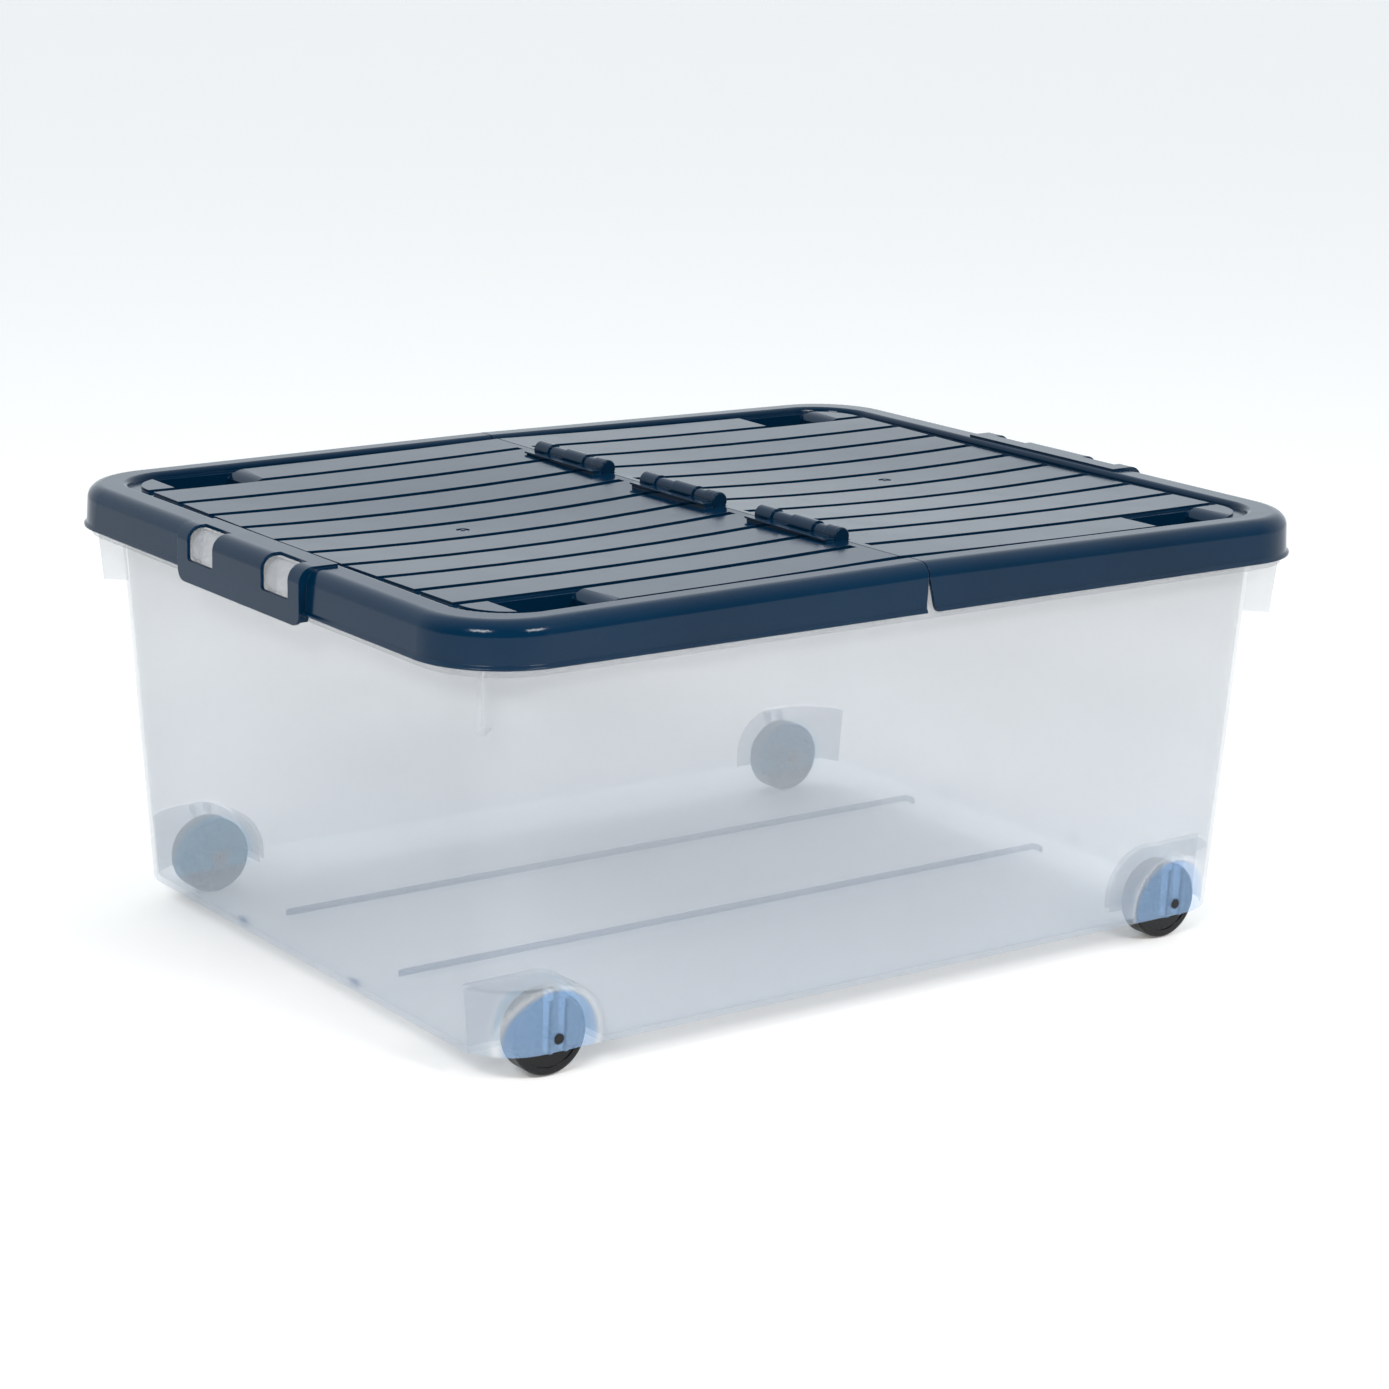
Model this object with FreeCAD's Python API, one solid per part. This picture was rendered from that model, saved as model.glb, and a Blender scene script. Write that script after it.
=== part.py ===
import FreeCAD, Part
import math
import os

# Wheeled under bed box: a translucent tub on four wheels, with a lid in two halves that
# fold up about three pinned hinges across the middle and clip over the tub's short ends.
# Millimetres. X runs along the box, Y across it, Z up. The origin is on the floor under
# the middle of the box, and the wheels stand on z = 0.

V = FreeCAD.Vector

# ---- wheels and axles
WHEEL_RADIUS = 23.5
WHEEL_WIDTH = 14.5
WHEEL_SKIN = 2.4
WHEEL_TREAD = 3.2
WHEEL_HUB_RADIUS = 6.5
WHEEL_ROUNDING = 1.6
SPOKE_COUNT = 6
SPOKE_TURN = 15.0
SPOKE_HALF = 0.9
SPOKE_INSET = 1.0
DISH_EDGE = 4.5
DISH_DEPTH = 0.6
AXLE_RADIUS = 2.9
AXLE_CLEARANCE = 0.08
AXLE_SEAT_DEPTH = 1.2
AXLE_RECESS = 0.3
AXLE_X = 223.0
WHEEL_Y = 190.25

# ---- tub
BASE_Z = 15.5
BASE_HALF = (266.9, 206.3, 35.0)      # half length, half width, corner radius
BASE_ROUNDING = 2.6
TUB_HALF = (284.05, 219.5, 46.0)
TUB_TOP_Z = 259.1
TUB_WALL = 2.2
FLOOR_THICKNESS = 2.5
FLOOR_ROUNDING = 3.0
LIP_HALF_LOW = (296.0, 231.8, 47.5)
LIP_HALF_HIGH = (293.4, 229.2, 45.4)
LIP_BOTTOM_Z = 232.5
LIP_ROUNDING = 3.6
FLANGE_THICKNESS = 2.4
FIN_BOTTOM_Z = 200.5
FIN_THICKNESS = 5.0
FIN_LENGTH = 40.0
FIN_INSET = 1.6
FIN_TAPER = 5.0
FLOOR_RIB_Y = 65.0
FLOOR_RIB = (236.0, 4.5, 5.0)          # half length, half width, height
FLOOR_RIB_ROUNDING = 2.0
WELL_RADIUS = 31.0
WELL_INNER_Y = 177.5
WELL_WALL = 2.0
ARCH_CROWN = 0.4
GUIDE_X = 5.0
GUIDE_HALF = 1.1
GUIDE_GAP = 2.0
GUIDE_TOP_GAP = 0.6
BOSS_RADIUS = 5.6
BOSS_DEPTH = 3.0
LEAD_IN = 2.0
LEAD_IN_DEPTH = 0.9
LUG_Y = 43.0
LUG_HALF_WIDTH = 13.0
LUG_PROFILE = ((288.0, 258.6), (291.8, 260.6), (294.6, 260.2), (297.6, 258.6), (299.9, 255.6),
               (301.1, 251.6), (301.2, 246.0), (299.8, 242.6), (295.2, 239.4), (292.6, 239.4),
               (292.0, 257.0), (288.0, 257.0))

# ---- lid
SPLIT_X = -2.5
SPLIT_GAP = 0.4
SKIRT_Z = 237.0
SKIRT_HALF_LOW = (299.2, 235.0, 50.8)
SKIRT_HALF_HIGH = (297.7, 233.5, 49.4)
SKIRT_TOP_Z = 265.5
SKIRT_BEAD = 1.4
SKIRT_BEAD_HEIGHT = 1.0
SKIRT_BEAD_FADE = 1.6
LID_WALL = 2.2
ROOF_END = (300.0, 261.6)
ROOF_SPLIT_Z = 264.2
ROOF_ROUNDING = 8.5
PIT_HALF = (275.5, 213.8, 35.5)
PIT_ROUNDING = 3.2
FIELD_END_Z = 259.0
FIELD_SPLIT_Z = 261.8
FIELD_SAG = 3.8
FIELD_SAG_AT_EDGE = 0.25
FIELD_SIDE_RISE = 1.5
FIELD_STEPS = 8
PLANK_COUNT = 11
PLANK_PITCH = 38.3
PLANKS_HALF = (268.0, 206.5, 28.0)
GROOVE_WIDTH = 6.6
GROOVE_DEPTH = 1.8
GROOVE_START = 5.0
GROOVE_BEAD = 1.6
GROOVE_BEAD_RISE = 0.4
CLIP_HALF_WIDTH = 70.0
CLIP_FACE_X = 303.5
CLIP_BOTTOM_Z = 230.5
CLIP_TOP_Z = 263.2
CLIP_WALL = 2.0
CLIP_TOP_ROUNDING = 9.0
CLIP_FOOT_ROUNDING = 7.0
WINDOW_HALF_WIDTH = 15.0
WINDOW_BOTTOM_Z = 243.6
WINDOW_INNER_X = 291.0
WINDOW_ROUNDING = 2.0
POCKET_FLOOR_Z = 243.0
POCKET_HALF = (26.5, 16.5)             # half length, half width
POCKET_X = {-1: -224.2, 1: 216.5}      # the left pockets sit nearer their end of the lid
POCKET_Y = 191.5
POCKET_ROUNDING = 5.0
RAMP_LENGTH = 9.0
RAMP_DROP = 5.0
GATE_FROM_SPLIT = 154.5
GATE_RADIUS = 4.0
GATE_NUB_RADIUS = 1.1
GATE_DEPTH = 0.5

# ---- hinges
HINGE_Z = 264.6
HINGE_PITCH = 117.5
HINGE_HALF = 38.0
BARREL_RADIUS = 5.4
NECK_RADIUS = 4.3
PIN_RADIUS = 2.5
PIN_CLEARANCE = 0.08
RELIEF = 0.4
PLINTH_REACH = 11.0
PLINTH_LEDGE = 1.6
PLINTH_TOP_GAP = 0.2
LEDGE_HEIGHT = 1.1
HINGE_ROOT_DEPTH = 1.6
COLLAR_LENGTH = 6.5
ARM_REACH = 8.0
ARM_TOP = 2.2
ARM_ROUNDING = 1.5
ARM_RELIEF = 0.5
SIDE_GAP = 0.2
HEAD_END = -33.0
HEAD_ROUNDING = 1.0
PIN_STOP = 2.5
PIN_OVERLAP = 2.0
LEFT_KNUCKLES = ((-33.0, -16.0), (6.0, 23.0))
RIGHT_KNUCKLES = ((-16.0, 6.0), (23.0, 38.0))
SLOT_PROFILE = ((-3.0, -1.0), (1.3, -1.0), (0.9, 2.4), (0.25, 15.0), (0.0, 19.0), (-3.0, 19.0))
SLOT_REACH = {-1: 1.6, 1: 4.2}
SLOT_INNER_Y = 224.0

# ---- working lengths: how far blocks that only cut or trim run past the object
FAR_X = 330.0
FAR_Y = 260.0
LOW_Z = 200.0
FAR_Z = 300.0
PAST = 1.0
PAST_WALL = 12.0
BURIED = 0.5
TOUCH = 0.01


def box(x0, x1, y0, y1, z0, z1):
    """Block between two x, two y and two z values, given in either order."""
    low = V(min(x0, x1), min(y0, y1), min(z0, z1))
    return Part.makeBox(abs(x1 - x0), abs(y1 - y0), abs(z1 - z0), low)


def rod(x, z, radius, y0, y1):
    """Round bar along Y."""
    return Part.makeCylinder(radius, abs(y1 - y0), V(x, min(y0, y1), z), V(0, 1, 0))


def outline(half, z):
    """Rounded rectangle at height z from (half length, half width, corner radius)."""
    hx, hy, r = half
    k = r * math.sqrt(0.5)
    edges = []
    for sx, sy in ((1, -1), (1, 1), (-1, 1), (-1, -1)):
        cx = sx * (hx - r)
        cy = sy * (hy - r)
        on_x = V(sx * hx, cy, z)
        on_y = V(cx, sy * hy, z)
        middle = V(cx + sx * k, cy + sy * k, z)
        first, last = (on_y, on_x) if sx * sy < 0 else (on_x, on_y)
        edges.append(Part.Arc(first, middle, last).toShape())
    wire = []
    for i, arc in enumerate(edges):
        wire.append(arc)
        start = arc.Vertexes[-1].Point
        stop = edges[(i + 1) % 4].Vertexes[0].Point
        wire.append(Part.makeLine(start, stop))
    return Part.Wire(Part.__sortEdges__(wire))


def tapered(low, z_low, high, z_high):
    """Solid between two rounded rectangles."""
    return Part.makeLoft([outline(low, z_low), outline(high, z_high)], True, True)


def grown(half, amount):
    """Rounded rectangle sizes moved outward by an amount."""
    return tuple(value + amount for value in half)


def between(low, high, t):
    """Rounded rectangle sizes part of the way from low to high."""
    return tuple(a + (b - a) * t for a, b in zip(low, high))


def slab(points, y0, y1):
    """Polygon of (x, z) points extruded along Y."""
    corners = [V(x, y0, z) for x, z in points]
    face = Part.Face(Part.makePolygon(corners + corners[:1]))
    return face.extrude(V(0, y1 - y0, 0))


def rounded(shape, radius, wanted, unwanted=None):
    """Fillet the edges whose ends and middle all pass a test, less those that pass another."""
    chosen = []
    for edge in shape.Edges:
        a, b = edge.ParameterRange
        points = [edge.valueAt(a), edge.valueAt((a + b) / 2), edge.valueAt(b)]
        if unwanted and all(unwanted(p) for p in points):
            continue
        if all(wanted(p) for p in points):
            chosen.append(edge)
    return shape.makeFillet(radius, chosen)


def joined(first, others):
    """One solid from overlapping pieces."""
    return first.fuse(others).removeSplitter()


# ------------------------------------------------------------------ tub

def tub_half(z, inset=0.0):
    """Outside of the tub wall at height z, moved inward by an inset."""
    t = (z - BASE_Z) / (TUB_TOP_Z - BASE_Z)
    return grown(between(BASE_HALF, TUB_HALF, t), -inset)


def tub_inside(z_low, z_high):
    """The space inside the tub wall."""
    low = tub_half(z_low, TUB_WALL)
    high = tub_half(z_high, TUB_WALL)
    return tapered(low, z_low, high, z_high)


def corner_fin(sx, sy):
    """Upright fin that stiffens one corner under the rim."""
    hx, hy, r = tub_half(TUB_TOP_Z)
    fin = Part.makeBox(r + FIN_LENGTH, FIN_THICKNESS, TUB_TOP_Z - PAST - FIN_BOTTOM_Z,
                       V(0, -FIN_THICKNESS / 2, FIN_BOTTOM_Z))
    fin.rotate(V(0, 0, 0), V(0, 0, 1), math.degrees(math.atan2(sy, sx)))
    fin.translate(V(sx * (hx - r), sy * (hy - r), 0))
    return fin


def well_block(sx, sy, shrink):
    """One wheel housing: a round arch towards the middle, square to the end of the tub.

    Without shrink it is the filled housing, and shrunk by the wall it is the hollow inside.
    """
    radius = WELL_RADIUS - shrink
    centre = sx * AXLE_X
    end_x = sx * (BASE_HALF[0] + PAST_WALL)
    y0 = sy * (WELL_INNER_Y + shrink)
    y1 = sy * (BASE_HALF[1] + PAST_WALL)
    low_z = BASE_Z - (PAST_WALL if shrink else 0.0)
    arch = rod(centre, WHEEL_RADIUS, radius, y0, y1)
    foot = box(centre - sx * radius, end_x, y0, y1, low_z, WHEEL_RADIUS)
    square = box(centre, end_x, y0, y1, low_z, WHEEL_RADIUS + radius - ARCH_CROWN)
    return joined(arch, [foot, square])


def rim_lug(side, y):
    """Lug on the tub's end rim that fills a clip window."""
    points = [(side * x, z) for x, z in LUG_PROFILE]
    return slab(points, y - LUG_HALF_WIDTH, y + LUG_HALF_WIDTH)


def make_tub():
    outside = tapered(BASE_HALF, BASE_Z, TUB_HALF, TUB_TOP_Z)
    outside = rounded(outside, BASE_ROUNDING, lambda p: abs(p.z - BASE_Z) < TOUCH)
    lip = tapered(LIP_HALF_LOW, LIP_BOTTOM_Z, LIP_HALF_HIGH, TUB_TOP_Z)
    lip = rounded(lip, LIP_ROUNDING, lambda p: abs(p.z - TUB_TOP_Z) < TOUCH)
    under_lip = tapered(grown(LIP_HALF_LOW, -TUB_WALL), LIP_BOTTOM_Z - PAST,
                        grown(LIP_HALF_HIGH, -TUB_WALL), TUB_TOP_Z - FLANGE_THICKNESS)
    lip = lip.cut(under_lip)

    slim = grown(LIP_HALF_LOW, -FIN_INSET)
    reach = tapered(grown(LIP_HALF_LOW, -FIN_TAPER), FIN_BOTTOM_Z - PAST, slim, LIP_BOTTOM_Z)
    reach = reach.fuse(tapered(slim, LIP_BOTTOM_Z, grown(LIP_HALF_HIGH, -FIN_INSET), TUB_TOP_Z))
    fins = [corner_fin(sx, sy).common(reach) for sx in (-1, 1) for sy in (-1, 1)]
    lugs = [rim_lug(side, y) for side in (-1, 1) for y in (-LUG_Y, LUG_Y)]
    tub = outside.fuse([lip] + fins + lugs)

    floor_z = BASE_Z + FLOOR_THICKNESS
    inside = tub_inside(floor_z, TUB_TOP_Z + PAST_WALL)
    inside = rounded(inside, FLOOR_ROUNDING, lambda p: abs(p.z - floor_z) < TOUCH)
    tub = tub.cut(inside)

    rib_x, rib_half, rib_height = FLOOR_RIB
    rib_top = floor_z + rib_height
    ribs = []
    for y in (-FLOOR_RIB_Y, FLOOR_RIB_Y):
        rib = box(-rib_x, rib_x, y - rib_half, y + rib_half, floor_z - BURIED, rib_top)
        ribs.append(rounded(rib, FLOOR_RIB_ROUNDING, lambda p: p.z > rib_top - TOUCH))
    housings = []
    for sx in (-1, 1):
        for sy in (-1, 1):
            housings.append(well_block(sx, sy, 0.0).common(outside))
    tub = tub.fuse(ribs + housings)

    wall_inside = tub_inside(BASE_Z - PAST_WALL, TUB_TOP_Z)
    for sx in (-1, 1):
        for sy in (-1, 1):
            tub = tub.cut(well_block(sx, sy, WELL_WALL).common(wall_inside))
            tub = tub.fuse(axle_seat(sx, sy))
            tub = tub.cut(axle_hole(sx, sy))
    return tub.removeSplitter()


def axle_seat(sx, sy):
    """Two guide ribs inside the outer wall, and the blind boss for the axle's inner end."""
    x = sx * AXLE_X
    face = tub_half(WHEEL_RADIUS)[1] - PAST
    near = WHEEL_Y + WHEEL_WIDTH / 2 + GUIDE_GAP
    top_z = WHEEL_RADIUS + WELL_RADIUS - WELL_WALL - GUIDE_TOP_GAP
    ribs = []
    for guide_x in (x - GUIDE_X, x + GUIDE_X):
        ribs.append(box(guide_x - GUIDE_HALF, guide_x + GUIDE_HALF, sy * near, sy * face,
                        BASE_Z, top_z))
    boss = rod(x, WHEEL_RADIUS, BOSS_RADIUS, sy * (WELL_INNER_Y - BOSS_DEPTH),
               sy * (WELL_INNER_Y + PAST))
    return boss.fuse(ribs)


def axle_hole(sx, sy):
    """Hole through the outer wall and into the boss, with a small lead-in outside."""
    x = sx * AXLE_X
    face = tub_half(WHEEL_RADIUS)[1]
    hole = rod(x, WHEEL_RADIUS, AXLE_RADIUS, sy * (WELL_INNER_Y - AXLE_SEAT_DEPTH),
               sy * (face + PAST_WALL))
    cone = Part.makeCone(AXLE_RADIUS, AXLE_RADIUS + LEAD_IN, LEAD_IN,
                         V(x, sy * (face - LEAD_IN_DEPTH), WHEEL_RADIUS), V(0, sy, 0))
    return hole.fuse(cone)


# ------------------------------------------------------------------ wheels and axles

def make_wheel(sx, sy):
    """Moulded wheel: closed outer face, rim, hub and radial ribs open to the inside."""
    half = WHEEL_WIDTH / 2
    wheel = rod(0, 0, WHEEL_RADIUS, -half, half)
    wheel = rounded(wheel, WHEEL_ROUNDING, lambda p: math.hypot(p.x, p.z) > WHEEL_RADIUS - TOUCH)
    hollow = rod(0, 0, WHEEL_RADIUS - WHEEL_TREAD, WHEEL_SKIN - half, half + PAST)
    inner_parts = [rod(0, 0, WHEEL_HUB_RADIUS, -half, half)]
    for i in range(SPOKE_COUNT):
        spoke = box(0, WHEEL_RADIUS - WHEEL_TREAD + PAST, SPOKE_INSET - half, half - SPOKE_INSET,
                    -SPOKE_HALF, SPOKE_HALF)
        spoke.rotate(V(0, 0, 0), V(0, 1, 0), 360.0 / SPOKE_COUNT * i + SPOKE_TURN)
        inner_parts.append(spoke)
    wheel = wheel.cut(hollow).fuse(inner_parts)
    dish = rod(0, 0, WHEEL_RADIUS - DISH_EDGE, -half - PAST, DISH_DEPTH - half)
    dish = dish.cut(rod(0, 0, WHEEL_HUB_RADIUS, -half - PAST, DISH_DEPTH - half))
    wheel = wheel.cut(dish)
    wheel = wheel.cut(rod(0, 0, AXLE_RADIUS + AXLE_CLEARANCE, -half - PAST, half + PAST))
    if sy > 0:
        wheel.rotate(V(0, 0, 0), V(0, 0, 1), 180.0)
    wheel.translate(V(sx * AXLE_X, sy * WHEEL_Y, WHEEL_RADIUS))
    return wheel.removeSplitter()


def make_axles():
    """Four plain axle pins, one through each wheel well."""
    pins = []
    face = tub_half(WHEEL_RADIUS)[1]
    for sx in (-1, 1):
        for sy in (-1, 1):
            inner = sy * (WELL_INNER_Y - AXLE_SEAT_DEPTH)
            pins.append(rod(sx * AXLE_X, WHEEL_RADIUS, AXLE_RADIUS, inner,
                            sy * (face - AXLE_RECESS)))
    return Part.makeCompound(pins)


# ------------------------------------------------------------------ lid

def roof_z(x, side):
    """Height of the lid's rim, which rises from each end to the split."""
    end_x, end_z = ROOF_END
    t = (x - SPLIT_X) / (side * end_x - SPLIT_X)
    return ROOF_SPLIT_Z + (end_z - ROOF_SPLIT_Z) * t


def half_block(side, inset):
    """One half of the lid as a filled block, moved inward by an inset."""
    low_z = SKIRT_Z - inset
    low = grown(SKIRT_HALF_LOW, -inset)
    high = grown(SKIRT_HALF_HIGH, -inset)
    block = tapered(low, low_z, high, SKIRT_TOP_Z)
    near = SPLIT_X + side * (SPLIT_GAP - inset)
    far = side * FAR_X
    wedge = [(near, low_z - PAST), (near, roof_z(near, side) - inset),
             (far, roof_z(far, side) - inset), (far, low_z - PAST)]
    block = block.common(slab(wedge, -FAR_Y, FAR_Y))
    return rounded(block, ROOF_ROUNDING - inset,
                   lambda p: abs(p.z - roof_z(p.x, side) + inset) < TOUCH,
                   lambda p: abs(p.x - near) < TOUCH)


def field_z(x, y, side):
    """Height of the dished planks, lowest in the middle of each half, rising to the sides."""
    end_x = side * PIT_HALF[0]
    t = (x - end_x) / (SPLIT_X - end_x)
    fullness = math.cos(math.pi * y / (2.0 * (PIT_HALF[1] + PAST_WALL))) ** 2
    swell = FIELD_SAG_AT_EDGE + (1.0 - FIELD_SAG_AT_EDGE) * fullness
    straight_z = FIELD_END_Z + (FIELD_SPLIT_Z - FIELD_END_Z) * t
    side_rise = FIELD_SIDE_RISE * (1.0 - fullness)
    return straight_z + side_rise - FIELD_SAG * 4.0 * t * (1.0 - t) * swell


def above_field(side, offset):
    """Everything above the planks' dished surface, moved up or down by an offset."""
    far_x = side * (PIT_HALF[0] + PAST_WALL)
    near_x = SPLIT_X - side * PAST_WALL
    half_y = PIT_HALF[1] + PAST_WALL
    grid = []
    for i in range(FIELD_STEPS + 1):
        x = far_x + (near_x - far_x) * i / FIELD_STEPS
        row = []
        for j in range(FIELD_STEPS + 1):
            y = -half_y + 2.0 * half_y * j / FIELD_STEPS
            row.append(V(x, y, field_z(x, y, side) + offset))
        grid.append(row)
    surface = Part.BSplineSurface()
    surface.interpolate(grid)
    return surface.toShape().extrude(V(0, 0, FAR_Z - LOW_Z))


def groove_strips(side, half_width):
    """Bars along X, one over each groove between neighbouring planks."""
    far = side * (PIT_HALF[0] - TOUCH)
    near = SPLIT_X + side * GROOVE_START
    strips = []
    for i in range(1, PLANK_COUNT):
        y = PLANK_PITCH * (i - PLANK_COUNT / 2)
        strips.append(box(near, far, y - half_width, y + half_width, LOW_Z, FAR_Z))
    return Part.makeCompound(strips)


def gutter_ring(margin):
    """Channel between the planks' ends and the rim's inner wall, as a tall ring."""
    planks = grown(PLANKS_HALF, -margin)
    wide = grown(PIT_HALF, LID_WALL)
    return tapered(wide, LOW_Z, wide, FAR_Z).cut(tapered(planks, LOW_Z, planks, FAR_Z))


def wheel_pocket(side, sy, grow):
    """Well with a rounded bottom that takes the wheel of a box stacked on top."""
    x = POCKET_X[side]
    y = sy * POCKET_Y
    half_x, half_y = (half + grow for half in POCKET_HALF)
    floor_z = POCKET_FLOOR_Z - grow
    well = box(x - half_x, x + half_x, y - half_y, y + half_y, floor_z, FAR_Z)
    return rounded(well, POCKET_ROUNDING + grow, lambda p: p.z < floor_z + TOUCH)


def pocket_ramp(side, sy, grow):
    """Rounded lead-in that curves from the planks down to the pocket's right-hand wall."""
    y = sy * POCKET_Y
    half_y = POCKET_HALF[1] + grow
    near = POCKET_X[side] + POCKET_HALF[0]
    end = near + RAMP_LENGTH
    end_z = field_z(end, y, side)
    radius = (RAMP_LENGTH ** 2 + RAMP_DROP ** 2) / (2.0 * RAMP_DROP)
    low_z = end_z - RAMP_DROP - grow
    block = box(near - BURIED, end, y - half_y, y + half_y, low_z, FAR_Z)
    return block.cut(rod(end, end_z - radius, radius - grow, y - half_y - PAST, y + half_y + PAST))


def gate_mark(side):
    """Shallow round mark with a nub, where the plastic entered the mould."""
    foot = V(SPLIT_X + side * GATE_FROM_SPLIT, 0.0, LOW_Z)
    disc = Part.makeCylinder(GATE_RADIUS, FAR_Z - LOW_Z, foot)
    nub = Part.makeCylinder(GATE_NUB_RADIUS, FAR_Z - LOW_Z, foot)
    return disc.cut(nub).common(above_field(side, -GATE_DEPTH))


def clip_block(side, inset):
    """Stepped-out clip section at the middle of a short end, or its hollow when inset."""
    face = side * (CLIP_FACE_X - inset)
    half = CLIP_HALF_WIDTH - inset
    low_z = CLIP_BOTTOM_Z - (PAST if inset else 0.0)
    top_z = CLIP_TOP_Z - inset
    inner = PIT_HALF[0] + (0.0 if inset else PIT_ROUNDING) + BURIED
    block = box(side * inner, face, -half, half, low_z, top_z)
    block = rounded(block, CLIP_TOP_ROUNDING - inset,
                    lambda p: abs(p.x - face) < TOUCH and p.z > top_z - TOUCH)
    if not inset:
        block = rounded(block, CLIP_FOOT_ROUNDING,
                        lambda p: abs(abs(p.y) - half) < TOUCH and p.z < low_z + TOUCH)
        skirt_inside = side * (SKIRT_HALF_LOW[0] - LID_WALL)
        block = block.cut(box(0.0, skirt_inside, -half, half, low_z - PAST, SKIRT_Z))
    return block


def skirt_lip():
    """Small outward bead around the bottom of the skirt."""
    wide = grown(SKIRT_HALF_LOW, SKIRT_BEAD)
    slim = grown(SKIRT_HALF_LOW, -BURIED)
    fade_z = SKIRT_Z + SKIRT_BEAD_HEIGHT
    straight = tapered(wide, SKIRT_Z, wide, fade_z)
    return straight.fuse(tapered(wide, fade_z, slim, fade_z + SKIRT_BEAD_FADE))


def skirt_slots(side):
    """Flared slot beside the split in the front and back skirts."""
    near = SPLIT_X + side * SPLIT_GAP
    slot = [(near + side * SLOT_REACH[side] * x, SKIRT_Z + z) for x, z in SLOT_PROFILE]
    return [slab(slot, sy * SLOT_INNER_Y, sy * FAR_Y) for sy in (-1, 1)]


def half_space(side):
    """The side of the split that belongs to one half."""
    return box(SPLIT_X + side * SPLIT_GAP, side * FAR_X, -FAR_Y, FAR_Y, LOW_Z, FAR_Z)


def lid_shell(side):
    """One half of the lid before its hinge parts are added."""
    lip = skirt_lip().common(half_space(side))
    pit = tapered(PIT_HALF, SKIRT_Z, PIT_HALF, FAR_Z)
    ring = half_block(side, 0.0).cut(pit)
    ring = rounded(ring, PIT_ROUNDING, lambda p: on_pit_rim(p, side))
    core = pit.common(half_space(side)).cut(above_field(side, 0.0))
    outer = ring.fuse([core, lip, clip_block(side, 0.0)])
    hollow = half_block(side, LID_WALL).fuse(clip_block(side, CLIP_WALL))

    shell_half = grown(PIT_HALF, LID_WALL)
    pit_shell = tapered(shell_half, LOW_Z, shell_half, FAR_Z)
    limit_half = grown(PIT_HALF, -PAST)
    pocket_limit = tapered(limit_half, LOW_Z, limit_half, FAR_Z)
    pockets = []
    cups = []
    for sy in (-1, 1):
        for shape in (wheel_pocket, pocket_ramp):
            pockets.append(shape(side, sy, 0.0).common(pocket_limit))
            cups.append(shape(side, sy, LID_WALL).common(pit_shell))
    grooves = groove_strips(side, GROOVE_WIDTH / 2).fuse(gutter_ring(0.0).common(pit))
    grooves = grooves.common(above_field(side, -GROOVE_DEPTH))
    beads = groove_strips(side, GROOVE_WIDTH / 2 + GROOVE_BEAD).common(pit_shell)
    beads = beads.fuse(gutter_ring(GROOVE_BEAD).common(half_space(side)))
    beads = beads.common(above_field(side, GROOVE_BEAD_RISE - GROOVE_DEPTH - LID_WALL))
    skin = pit_shell.common(above_field(side, -LID_WALL)).fuse([beads] + cups)
    return outer.cut(hollow.cut(skin)).cut([grooves, gate_mark(side)] + pockets)


def on_pit_rim(p, side):
    """True on the edge where the recess meets the top of the rim."""
    hx, hy, r = PIT_HALF
    dx = max(abs(p.x) - (hx - r), 0.0)
    dy = max(abs(p.y) - (hy - r), 0.0)
    off_wall = abs(p.y) - hy if dx == 0.0 else math.hypot(dx, dy) - r
    off_roof = p.z - roof_z(p.x, side)
    return max(abs(off_wall), abs(off_roof)) < 2.0 * TOUCH


def window_cuts(side):
    """Two openings through the clip section for the tub's lugs."""
    cuts = []
    for y in (-LUG_Y, LUG_Y):
        cut = box(side * WINDOW_INNER_X, side * FAR_X, y - WINDOW_HALF_WIDTH,
                  y + WINDOW_HALF_WIDTH, WINDOW_BOTTOM_Z, FAR_Z)
        cuts.append(rounded(cut, WINDOW_ROUNDING, lambda p: p.z < WINDOW_BOTTOM_Z + TOUCH
                            and abs(abs(p.y - y) - WINDOW_HALF_WIDTH) < TOUCH))
    return cuts


def knuckle(y, start, stop, radius):
    """Round knuckle of one hinge between two distances along it."""
    return rod(SPLIT_X, HINGE_Z, radius, y + start + SIDE_GAP / 2, y + stop - SIDE_GAP / 2)


def pin_bore(y):
    """Bore for the hinge pin through the knuckles of one hinge."""
    radius = PIN_RADIUS + PIN_CLEARANCE
    return rod(SPLIT_X, HINGE_Z, radius, y - HINGE_HALF - PAST, y + HINGE_HALF - PIN_STOP + PAST)


def room_for(y, start, stop, reach, side):
    """Space cut from one half so the other half's knuckle and arm can turn in it."""
    radius = BARREL_RADIUS + RELIEF
    space = rod(SPLIT_X, HINGE_Z, radius, y + start, y + stop)
    if reach > 0.0:
        low_z = HINGE_Z - ARM_TOP - ARM_RELIEF
        space = space.fuse(box(SPLIT_X, SPLIT_X + side * reach, y + start, y + stop, low_z, FAR_Z))
    return space


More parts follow.
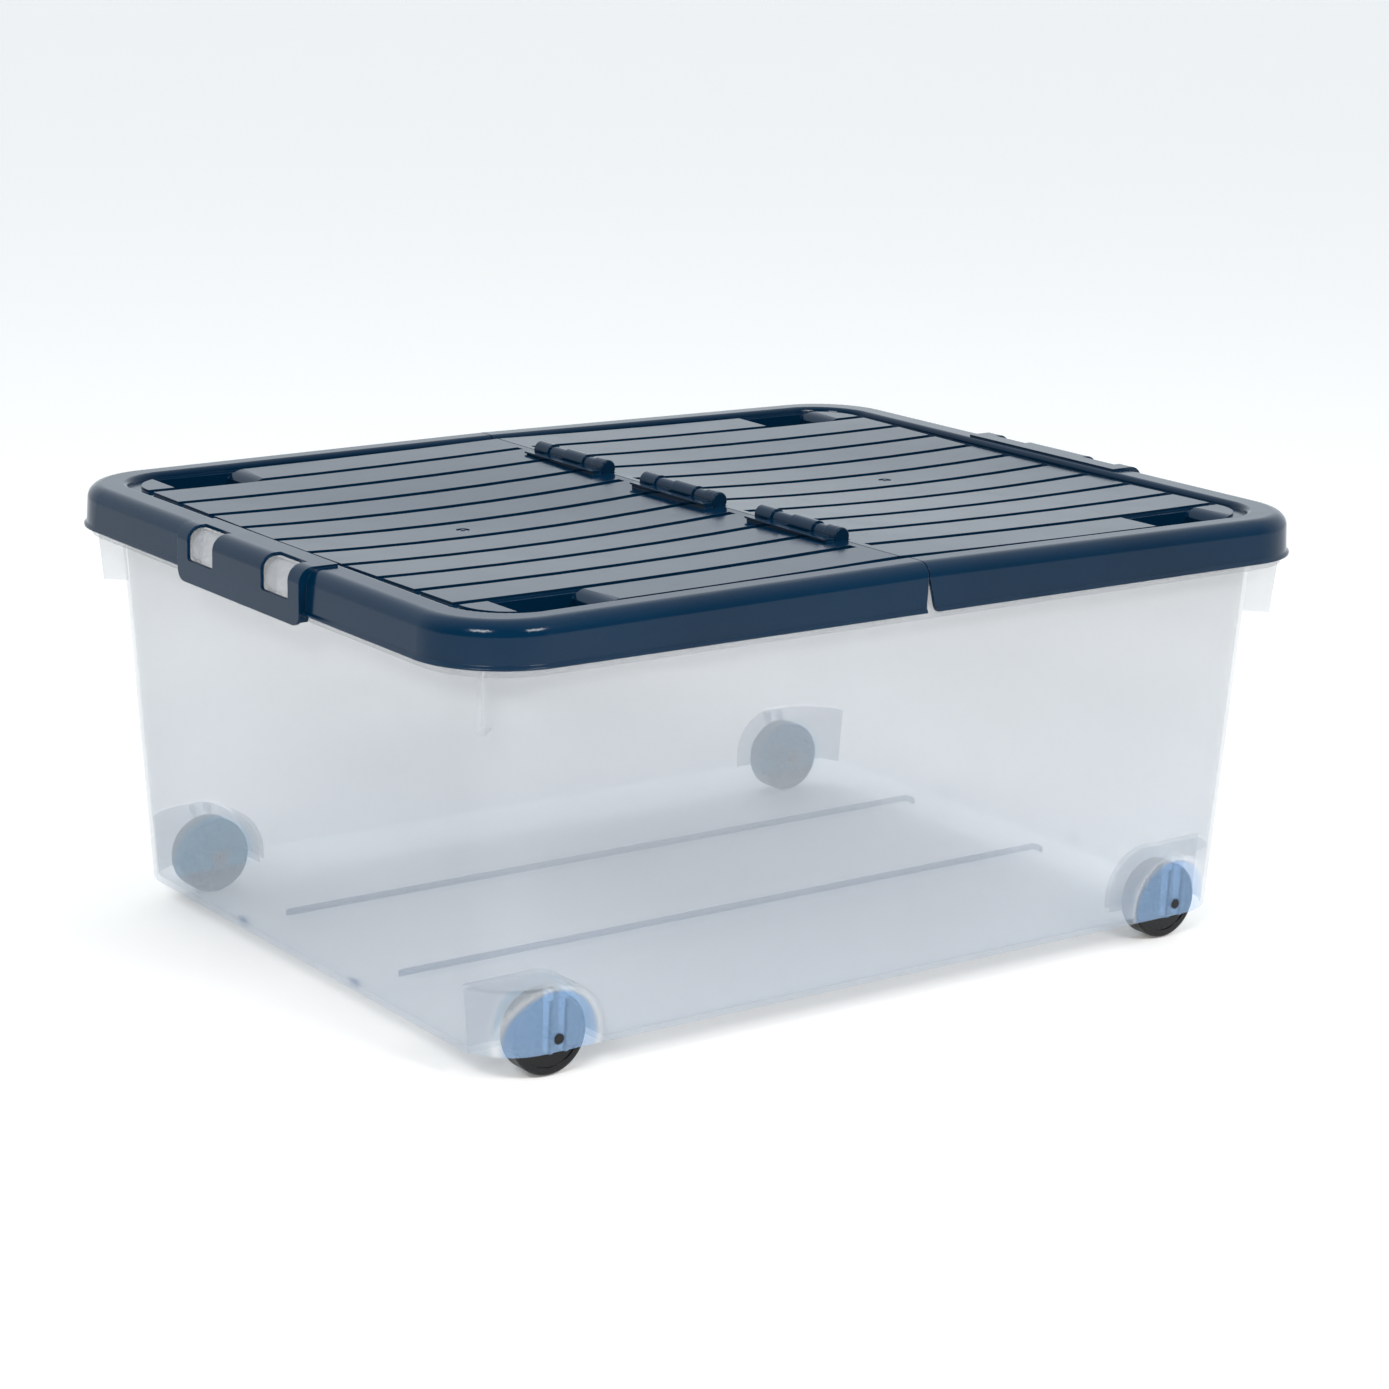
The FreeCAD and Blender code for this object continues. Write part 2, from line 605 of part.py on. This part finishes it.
def make_left_lid():
    """Lid half with the plinth under each hinge and the slimmer knuckles."""
    lid = lid_shell(-1).cut(window_cuts(-1) + skirt_slots(-1))
    near = SPLIT_X - SPLIT_GAP
    pieces = []
    for i in (-1, 0, 1):
        y = i * HINGE_PITCH
        top_z = HINGE_Z - PLINTH_TOP_GAP
        plinth = box(SPLIT_X - PLINTH_REACH, near, y - HINGE_HALF, y + HINGE_HALF,
                     FIELD_SPLIT_Z - HINGE_ROOT_DEPTH, top_z)
        ledge = box(SPLIT_X - PLINTH_REACH - PLINTH_LEDGE, near, y - HINGE_HALF, y + HINGE_HALF,
                    top_z - LEDGE_HEIGHT, top_z)
        pieces += [plinth, ledge]
        for start, stop in LEFT_KNUCKLES:
            pieces.append(knuckle(y, start, stop, NECK_RADIUS))
        first = LEFT_KNUCKLES[0][0]
        pieces.append(knuckle(y, first, first + COLLAR_LENGTH, BARREL_RADIUS))
    lid = lid.fuse(pieces)
    for i in (-1, 0, 1):
        y = i * HINGE_PITCH
        lid = lid.cut(room_for(y, -HINGE_HALF - PAST, HEAD_END, 0.0, -1))
        for start, stop in RIGHT_KNUCKLES:
            end = stop + PAST if stop == HINGE_HALF else stop
            lid = lid.cut(room_for(y, start, end, ARM_REACH + ARM_RELIEF, -1))
        lid = lid.cut(pin_bore(y))
    return lid.removeSplitter()


def make_right_lid():
    """Lid half with the arms that reach over the split."""
    lid = lid_shell(1).cut(window_cuts(1) + skirt_slots(1))
    edge_x = SPLIT_X + ARM_REACH
    top_z = HINGE_Z + ARM_TOP
    for i in (-1, 0, 1):
        y = i * HINGE_PITCH
        lid = lid.cut(room_for(y, -HINGE_HALF - PAST, HEAD_END, 0.0, 1))
        for start, stop in LEFT_KNUCKLES:
            lid = lid.cut(room_for(y, start, stop, 0.0, 1))
    pieces = []
    for i in (-1, 0, 1):
        y = i * HINGE_PITCH
        for start, stop in RIGHT_KNUCKLES:
            pieces.append(knuckle(y, start, stop, BARREL_RADIUS))
            arm = box(SPLIT_X, edge_x, y + start + SIDE_GAP / 2, y + stop - SIDE_GAP / 2,
                      FIELD_SPLIT_Z - HINGE_ROOT_DEPTH, top_z)
            arm = rounded(arm, ARM_ROUNDING,
                          lambda p: abs(p.x - edge_x) < TOUCH and p.z > top_z - TOUCH)
            pieces.append(arm)
    lid = lid.fuse(pieces)
    for i in (-1, 0, 1):
        lid = lid.cut(pin_bore(i * HINGE_PITCH))
    return lid.removeSplitter()


def make_hinge_pins():
    """Three hinge pins, each with a round head that closes the hinge's front end."""
    pins = []
    for i in (-1, 0, 1):
        y = i * HINGE_PITCH
        front = y - HINGE_HALF
        shaft = rod(SPLIT_X, HINGE_Z, PIN_RADIUS, y + HEAD_END - PIN_OVERLAP,
                    y + HINGE_HALF - PIN_STOP)
        head = rod(SPLIT_X, HINGE_Z, BARREL_RADIUS, front, y + HEAD_END - SIDE_GAP / 2)
        head = rounded(head, HEAD_ROUNDING, lambda p: abs(p.y - front) < TOUCH)
        pins.append(shaft.fuse(head).removeSplitter())
    return Part.makeCompound(pins)


def main():
    os.makedirs("parts", exist_ok=True)
    nodes = {
        "tub": make_tub(),
        "lid_left": make_left_lid(),
        "lid_right": make_right_lid(),
        "hinge_pins": make_hinge_pins(),
        "axle_pins": make_axles(),
        "wheel_front_left": make_wheel(-1, -1),
        "wheel_front_right": make_wheel(1, -1),
        "wheel_back_left": make_wheel(-1, 1),
        "wheel_back_right": make_wheel(1, 1),
    }
    for name, shape in nodes.items():
        bounds = shape.BoundBox
        print(name, "valid", shape.isValid(), "solids", len(shape.Solids),
              "volume %.1f" % (shape.Volume / 1000.0), "x %.1f %.1f" % (bounds.XMin, bounds.XMax),
              "y %.1f %.1f" % (bounds.YMin, bounds.YMax), "z %.1f %.1f" % (bounds.ZMin, bounds.ZMax))
        shape.exportStep("parts/%s.step" % name)


main()
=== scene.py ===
import math

import bpy
from mathutils import Matrix, Vector


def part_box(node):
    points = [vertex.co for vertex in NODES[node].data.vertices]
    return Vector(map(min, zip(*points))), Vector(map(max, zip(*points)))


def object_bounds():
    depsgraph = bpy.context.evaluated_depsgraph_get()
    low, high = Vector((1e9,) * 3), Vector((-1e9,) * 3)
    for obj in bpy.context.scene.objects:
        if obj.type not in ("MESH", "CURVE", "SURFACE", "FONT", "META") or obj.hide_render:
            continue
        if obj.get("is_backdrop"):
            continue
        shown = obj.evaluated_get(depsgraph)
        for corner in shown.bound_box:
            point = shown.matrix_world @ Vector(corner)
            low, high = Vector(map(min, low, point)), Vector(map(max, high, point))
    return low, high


# Looks of a wheeled under bed box: a milky translucent tub with four black wheels under a
# glossy navy lid in two halves. Metres, in the CAD frame.

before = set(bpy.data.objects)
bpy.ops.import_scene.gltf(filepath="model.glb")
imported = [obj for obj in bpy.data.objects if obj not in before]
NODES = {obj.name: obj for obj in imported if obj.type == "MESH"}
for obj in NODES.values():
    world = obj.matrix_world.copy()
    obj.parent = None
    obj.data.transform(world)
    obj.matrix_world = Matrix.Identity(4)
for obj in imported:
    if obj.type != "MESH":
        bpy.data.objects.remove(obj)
low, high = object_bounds()
CENTRE = (low + high) / 2

# ---- camera
CAMERA_AT = Vector((-1.1898, -1.6661, 0.6641))
CAMERA_AZIMUTH = math.radians(35.743)
CAMERA_ELEVATION = math.radians(14.403)
CAMERA_ROLL = math.radians(1.249)
CAMERA_LENS = 90.1
CAMERA_SENSOR = 36.0

# ---- studio
FLOOR_RADIUS = 38.0
FLOOR_DROP = 0.0006
FLOOR_SIDES = 96
FLOOR_ROUGHNESS = 0.75
FLOOR_GLOW = 0.16
FLOOR_GLOW_TINT = (1.0, 0.98, 0.96, 1.0)
FLOOR_PALE = (0.98, 0.96, 0.93, 1.0)
FLOOR_PALER = (0.99, 0.97, 0.94, 1.0)
WORLD_TINT = (0.88, 0.945, 1.0, 1.0)
WORLD_FRONT = 0.12
WORLD_BACK = 1.15
WORLD_TILT = 0.35
WORLD_TURN = (-0.6, 0.7)
LIGHT_ELEVATION = 36.0
LIGHT_DISTANCE = 2.6
LIGHT_SIZE = (0.8, 0.5)

# ---- floor ribs of the tub, where the milk gets painted shade
RIB_Y = 0.065
RIB_HALF = 0.0045
RIB_SIDE_FADE = 0.0015
RIB_HEIGHTS = (0.0182, 0.0236)
RIB_LOW_FADE = 0.0006
RIB_HIGH_FADE = 0.001

# ---- foot of the tub's walls, where floor and wall meet and the milk is darker and bluer
FOOT_AT_SIDES = (0.192, 0.203)
FOOT_AT_ENDS = (0.252, 0.263)
FOOT_DROP = 0.003
FOOT_SHARE = 0.6

# ---- wheel housings, where the milk gets painted scattered light over each wheel and a painted highlight along each housing's arched edge
DISC_EDGE = 0.0012
DISC_SHIFT = 0.0035
HOUSING_REACH = 0.0074
HOUSING_RADIUS = 0.031
HOUSING_WALL = 0.002

# ---- plastics
MILK_HEIGHTS = (0.02, 0.25)
MILK_ALPHA = 0.24
MILK_IOR = 1.49
LID_ROUGHNESS = 0.085
PIN_ROUGHNESS = 0.24
NAVY_IOR = 1.28
WHEEL_IOR = 1.38
TREAD_DEPTHS = (0.0022, 0.0004)

# ---- colours, linear
NAVY = (0.0006, 0.018, 0.046, 1.0)
NAVY_DEEP = (0.0004, 0.015, 0.039, 1.0)
NAVY_SCUFF = (0.030, 0.062, 0.105, 1.0)
MILK_TOP = (0.50, 0.52, 0.55, 1.0)
MILK_LOW = (0.60, 0.66, 0.74, 1.0)
# darker, bluer milk at the foot of the walls
MILK_FOOT_DARKER = (0.30, 0.43, 0.58, 1.0)
# painted shade on the floor ribs
MILK_RIB_PAINTED_SHADE = (0.02, 0.14, 0.34, 1.0)
# painted highlight along the wheel housings' arched edges
MILK_ARCH_PAINTED_HIGHLIGHT = (0.90, 0.94, 0.98, 1.0)
# painted scattered light over the wheels; the second colour is for the side towards the middle
MILK_PAINTED_SCATTER_OVER_WHEEL = (0.38, 0.60, 0.92, 1.0)
MILK_INNER_PAINTED_SCATTER_OVER_WHEEL = (0.05, 0.62, 1.0, 1.0)
BLACK_PP = (0.003, 0.0035, 0.0045, 1.0)
BLACK_SCUFF = (0.014, 0.0145, 0.0155, 1.0)


# ------------------------------------------------------------------ node helpers

class Nodes:
    """Short ways to build one material's node tree."""

    def __init__(self, name):
        self.material = bpy.data.materials.new(name)
        self.material.use_nodes = True
        self.tree = self.material.node_tree
        self.shader = self.tree.nodes["Principled BSDF"]
        self.place = self.add("ShaderNodeTexCoord").outputs["Object"]

    def add(self, kind, **settings):
        node = self.tree.nodes.new(kind)
        for key, value in settings.items():
            setattr(node, key, value)
        return node

    def link(self, source, target):
        self.tree.links.new(source, target)

    def put(self, node, **values):
        """Set or link inputs by name, with spaces written as underscores."""
        for key, value in values.items():
            socket = node.inputs[key.replace("_", " ")]
            if isinstance(value, bpy.types.NodeSocket):
                self.link(value, socket)
            else:
                socket.default_value = value
        return node

    def noise(self, scale, detail=2.0, stretch=(1.0, 1.0, 1.0), rough=0.5):
        mapping = self.put(self.add("ShaderNodeMapping"), Vector=self.place, Scale=stretch)
        node = self.add("ShaderNodeTexNoise")
        self.put(node, Vector=mapping.outputs[0], Scale=scale, Detail=detail, Roughness=rough)
        return node.outputs["Fac"]

    def spread(self, value, start, stop, low=0.0, high=1.0):
        """Map a range onto another, clamped."""
        node = self.add("ShaderNodeMapRange")
        self.put(node, Value=value, From_Min=start, From_Max=stop, To_Min=low, To_Max=high)
        return node.outputs[0]

    def math(self, kind, a, b=0.0):
        node = self.add("ShaderNodeMath", operation=kind)
        for socket, value in zip(node.inputs, (a, b)):
            if isinstance(value, bpy.types.NodeSocket):
                self.link(value, socket)
            else:
                socket.default_value = value
        return node.outputs[0]

    def mix(self, share, a, b):
        node = self.add("ShaderNodeMix", data_type="RGBA")
        for socket, value in zip((node.inputs[0], node.inputs[6], node.inputs[7]), (share, a, b)):
            if isinstance(value, bpy.types.NodeSocket):
                self.link(value, socket)
            else:
                socket.default_value = value
        return node.outputs[2]

    def axis(self, letter):
        node = self.add("ShaderNodeSeparateXYZ")
        self.link(self.place, node.inputs[0])
        return node.outputs[letter]

    def vector(self, kind, a, b=None):
        node = self.add("ShaderNodeVectorMath", operation=kind)
        for socket, value in zip(node.inputs, (a, b)):
            if isinstance(value, bpy.types.NodeSocket):
                self.link(value, socket)
            elif value is not None:
                socket.default_value = value
        return node.outputs["Value" if kind == "LENGTH" else "Vector"]

    def from_axle(self, place, hub):
        """Distance from the line through hub along Y."""
        off = self.vector("SUBTRACT", place, hub)
        return self.vector("LENGTH", self.vector("MULTIPLY", off, (1.0, 0.0, 1.0)))

    def bump(self, height, distance, strength, normal=None):
        node = self.put(self.add("ShaderNodeBump"), Height=height, Distance=distance,
                        Strength=strength)
        if normal is not None:
            self.link(normal, node.inputs["Normal"])
        return node.outputs[0]

    def soft_edges(self, radius):
        node = self.add("ShaderNodeBevel", samples=4)
        node.inputs["Radius"].default_value = radius
        return node.outputs[0]

    def edge_mask(self, radius):
        """1 on corners that stick out or in, 0 on open faces."""
        soft = self.soft_edges(radius)
        dot = self.add("ShaderNodeVectorMath", operation="DOT_PRODUCT")
        self.link(soft, dot.inputs[0])
        self.link(self.add("ShaderNodeNewGeometry").outputs["Normal"], dot.inputs[1])
        return self.spread(dot.outputs["Value"], 0.995, 0.90)


def navy_plastic(name, base, roughness):
    """Glossy moulded polypropylene: slight sink marks, fine grain, scuffed edges."""
    n = Nodes(name)
    cloud = n.noise(9.0, detail=3.0)
    colour = n.mix(n.spread(cloud, 0.35, 0.65), base, NAVY_DEEP)
    scuffs = n.spread(n.noise(420.0, detail=4.0, stretch=(1.0, 0.12, 1.0)), 0.66, 0.74)
    worn = n.math("MULTIPLY", n.edge_mask(0.0008), n.spread(n.noise(60.0), 0.40, 0.62))
    marks = n.math("MAXIMUM", n.math("MULTIPLY", scuffs, 0.10), n.math("MULTIPLY", worn, 0.35))
    n.put(n.shader, Base_Color=n.mix(marks, colour, NAVY_SCUFF))
    haze = n.spread(n.noise(35.0, detail=3.0), 0.35, 0.65, roughness, roughness + 0.07)
    n.put(n.shader, Roughness=n.math("ADD", haze, n.math("MULTIPLY", marks, 0.2)))
    sink = n.bump(n.noise(14.0, detail=1.0), 0.0008, 0.10, n.soft_edges(0.0005))
    grain = n.bump(n.noise(1500.0, detail=2.0), 0.00004, 0.5, sink)
    n.put(n.shader, Normal=grain, IOR=NAVY_IOR)
    return n.material


def wheel_painted_light_masks(n):
    """Masks of painted light beside each wheel: painted scattered light over the wheel's round
    face, a mask for the side towards the middle, and a painted highlight along the housing's
    arched edge.
    """
    near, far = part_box("wheel_back_right")
    hub = (near + far) / 2
    radius = (far.z - near.z) / 2
    y = n.math("ABSOLUTE", n.axis("Y"))
    outward = n.math("SIGN", n.math("MULTIPLY", n.math("SUBTRACT", y, hub.y), n.axis("Y")))
    shift = n.add("ShaderNodeCombineXYZ")
    n.link(n.math("MULTIPLY", outward, -DISC_SHIFT), shift.inputs["X"])
    folded = n.vector("ABSOLUTE", n.vector("ADD", n.place, shift.outputs[0]))
    away = n.from_axle(folded, hub)
    disc_radius = radius + DISC_SHIFT
    disc_scatter = n.spread(away, disc_radius + DISC_EDGE, disc_radius)
    beside = n.spread(y, near.y - HOUSING_REACH, near.y - HOUSING_REACH + DISC_EDGE)
    inner = n.spread(y, hub.y + DISC_EDGE, hub.y - DISC_EDGE)
    arch_low = HOUSING_RADIUS - HOUSING_WALL
    # painted highlight along the housing's arched edge
    arch_highlight = n.math("MULTIPLY",
                  n.spread(away, arch_low - DISC_EDGE, arch_low),
                  n.spread(away, HOUSING_RADIUS + DISC_EDGE, HOUSING_RADIUS))
    return n.math("MULTIPLY", disc_scatter, beside), inner, n.math("MULTIPLY", arch_highlight, beside)


def milky_plastic(name, alpha):
    """Translucent polypropylene: milky, bluer lower down, with faint flow clouds; darker and
    bluer where floor and wall meet; painted shade on the floor ribs, painted scattered light over
    the wheels and a painted highlight along the housing arches.
    """
    n = Nodes(name)
    height = n.axis("Z")
    depth = n.spread(height, *MILK_HEIGHTS)
    cloud = n.spread(n.noise(5.0, detail=3.0, stretch=(1.0, 1.0, 0.5)), 0.3, 0.7, -0.12, 0.12)
    share = n.math("ADD", depth, cloud)
    milk = n.mix(share, MILK_LOW, MILK_TOP)
    rib_low, rib_high = RIB_HEIGHTS
    from_middle = n.math("ABSOLUTE", n.axis("Y"))
    across = n.math("ABSOLUTE", n.math("SUBTRACT", from_middle, RIB_Y))
    # painted shade: the floor ribs are coloured deep blue in place of their shaded sides
    rib_painted_shade = n.math("MULTIPLY", n.spread(across, RIB_HALF + RIB_SIDE_FADE, RIB_HALF),
                    n.spread(height, rib_low, rib_low + RIB_LOW_FADE))
    rib_painted_shade = n.math("MULTIPLY", rib_painted_shade, n.spread(height, rib_high + RIB_HIGH_FADE, rib_high))
    at_side = n.spread(from_middle, *FOOT_AT_SIDES)
    at_end = n.spread(n.math("ABSOLUTE", n.axis("X")), *FOOT_AT_ENDS)
    foot = n.math("MULTIPLY", n.spread(height, rib_high, rib_low - FOOT_DROP, 0.0, FOOT_SHARE),
                  n.math("MAXIMUM", at_side, at_end))
    # darker and bluer where floor and wall meet
    milk = n.mix(foot, milk, MILK_FOOT_DARKER)
    # painted shade on the floor ribs
    milk = n.mix(rib_painted_shade, milk, MILK_RIB_PAINTED_SHADE)
    disc_scatter, inner, arch_highlight = wheel_painted_light_masks(n)
    # painted highlight: a bright line along each wheel housing's arched edge
    milk = n.mix(arch_highlight, milk, MILK_ARCH_PAINTED_HIGHLIGHT)
    # painted scattered light: the wall is tinted blue over each black wheel, bluer on the side
    # towards the middle
    milk = n.mix(disc_scatter, milk, n.mix(inner, MILK_PAINTED_SCATTER_OVER_WHEEL, MILK_INNER_PAINTED_SCATTER_OVER_WHEEL))
    n.put(n.shader, Base_Color=milk)
    n.put(n.shader, Roughness=n.spread(n.noise(28.0, detail=3.0), 0.35, 0.65, 0.16, 0.26))
    flow = n.bump(n.noise(16.0, detail=1.0, stretch=(1.0, 1.0, 0.35)), 0.0012, 0.12)
    grain = n.bump(n.noise(1300.0), 0.00003, 0.5, flow)
    n.put(n.shader, Normal=grain, IOR=MILK_IOR, Alpha=alpha)
    return n.material


def wheel_plastic(name, node, base):
    """Black moulded wheel: glossy face, tread dulled and dusted where it rolls."""
    n = Nodes(name)
    a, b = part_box(node)
    centre = (a + b) / 2
    radius = (b.z - a.z) / 2
    outer, inner = TREAD_DEPTHS
    tread = n.spread(n.from_axle(n.place, centre), radius - outer, radius - inner)
    dust = n.math("MULTIPLY", tread, n.spread(n.noise(160.0, detail=5.0), 0.42, 0.66, 0.05, 0.55))
    n.put(n.shader, Base_Color=n.mix(dust, base, BLACK_SCUFF))
    n.put(n.shader, Roughness=n.math("ADD", n.math("MULTIPLY", dust, 0.4),
                                     n.spread(n.noise(90.0), 0.3, 0.7, 0.22, 0.32)))
    grain = n.bump(n.noise(1800.0), 0.00004, 0.5, n.soft_edges(0.0004))
    n.put(n.shader, Normal=grain, IOR=WHEEL_IOR)
    return n.material


def dress(node, material):
    """Give a CAD node its finished material."""
    mesh = NODES[node].data
    if not mesh.materials:
        mesh.materials.append(material)
    for i in range(len(mesh.materials)):
        mesh.materials[i] = material


# ------------------------------------------------------------------ the object

lid_material = navy_plastic("navy_lid", NAVY, LID_ROUGHNESS)
dress("lid_left", lid_material)
dress("lid_right", lid_material)
dress("hinge_pins", navy_plastic("navy_pins", NAVY_DEEP, PIN_ROUGHNESS))
dress("tub", milky_plastic("milky_tub", MILK_ALPHA))
dress("axle_pins", wheel_plastic("black_axles", "axle_pins", BLACK_PP))
for end in ("front", "back"):
    for side in ("left", "right"):
        wheel = f"wheel_{end}_{side}"
        dress(wheel, wheel_plastic(f"black_{wheel}", wheel, BLACK_PP))


# ------------------------------------------------------------------ studio

def make_floor():
    ring = [(FLOOR_RADIUS * math.cos(2 * math.pi * i / FLOOR_SIDES),
             FLOOR_RADIUS * math.sin(2 * math.pi * i / FLOOR_SIDES), -FLOOR_DROP)
            for i in range(FLOOR_SIDES)]
    mesh = bpy.data.meshes.new("floor")
    mesh.from_pydata(ring, [], [tuple(range(FLOOR_SIDES))])
    floor = bpy.data.objects.new("floor", mesh)
    bpy.context.scene.collection.objects.link(floor)
    n = Nodes("pale_floor")
    tint = n.mix(n.noise(2.0), FLOOR_PALE, FLOOR_PALER)
    n.put(n.shader, Base_Color=tint, Roughness=FLOOR_ROUGHNESS)
    n.put(n.shader, Emission_Color=FLOOR_GLOW_TINT, Emission_Strength=FLOOR_GLOW)
    mesh.materials.append(n.material)
    floor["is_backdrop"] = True


def make_world():
    """Soft white room, brighter behind the object than in front of it."""
    world = bpy.data.worlds.new("studio")
    bpy.context.scene.world = world
    world.use_nodes = True
    tree = world.node_tree
    background = tree.nodes["Background"]
    place = tree.nodes.new("ShaderNodeTexCoord")
    dot = tree.nodes.new("ShaderNodeVectorMath")
    dot.operation = "DOT_PRODUCT"
    tree.links.new(place.outputs["Generated"], dot.inputs[0])
    dot.inputs[1].default_value = (math.sin(CAMERA_AZIMUTH), math.cos(CAMERA_AZIMUTH), WORLD_TILT)
    ramp = tree.nodes.new("ShaderNodeMapRange")
    ramp.interpolation_type = "SMOOTHSTEP"
    tree.links.new(dot.outputs["Value"], ramp.inputs["Value"])
    for name, value in (("From Min", WORLD_TURN[0]), ("From Max", WORLD_TURN[1]),
                        ("To Min", WORLD_FRONT), ("To Max", WORLD_BACK)):
        ramp.inputs[name].default_value = value
    tree.links.new(ramp.outputs[0], background.inputs["Strength"])
    background.inputs["Color"].default_value = WORLD_TINT


def softbox(name, azimuth, power):
    """Rectangular light aimed at the object. Azimuth 0 stands in front, at -Y; 90 at -X."""
    lamp = bpy.data.lights.new(name, "AREA")
    lamp.shape = "RECTANGLE"
    lamp.size, lamp.size_y = LIGHT_SIZE
    lamp.energy = power
    holder = bpy.data.objects.new(name, lamp)
    bpy.context.scene.collection.objects.link(holder)
    a, e = math.radians(azimuth), math.radians(LIGHT_ELEVATION)
    away = Vector((-math.sin(a) * math.cos(e), -math.cos(a) * math.cos(e), math.sin(e)))
    holder.location = CENTRE + away * LIGHT_DISTANCE
    holder.rotation_mode = "QUATERNION"
    holder.rotation_quaternion = (-away).to_track_quat("-Z", "Y")


def make_camera():
    data = bpy.data.cameras.new("camera")
    data.lens = CAMERA_LENS
    data.sensor_width = CAMERA_SENSOR
    data.clip_end = 200.0
    camera = bpy.data.objects.new("camera", data)
    bpy.context.scene.collection.objects.link(camera)
    ahead = Vector((math.sin(CAMERA_AZIMUTH) * math.cos(CAMERA_ELEVATION),
                    math.cos(CAMERA_AZIMUTH) * math.cos(CAMERA_ELEVATION),
                    -math.sin(CAMERA_ELEVATION)))
    level = ahead.cross(Vector((0, 0, 1))).normalized()
    above = level.cross(ahead)
    right = level * math.cos(CAMERA_ROLL) + above * math.sin(CAMERA_ROLL)
    top = above * math.cos(CAMERA_ROLL) - level * math.sin(CAMERA_ROLL)
    turn = Matrix((right, top, -ahead)).transposed()
    camera.matrix_world = Matrix.Translation(CAMERA_AT) @ turn.to_4x4()
    bpy.context.scene.camera = camera


make_floor()
make_world()
softbox("left_softbox", 58.0, 32.0)
softbox("front_softbox", -8.0, 30.0)
make_camera()
bpy.context.scene.view_settings.view_transform = "Standard"

low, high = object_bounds()
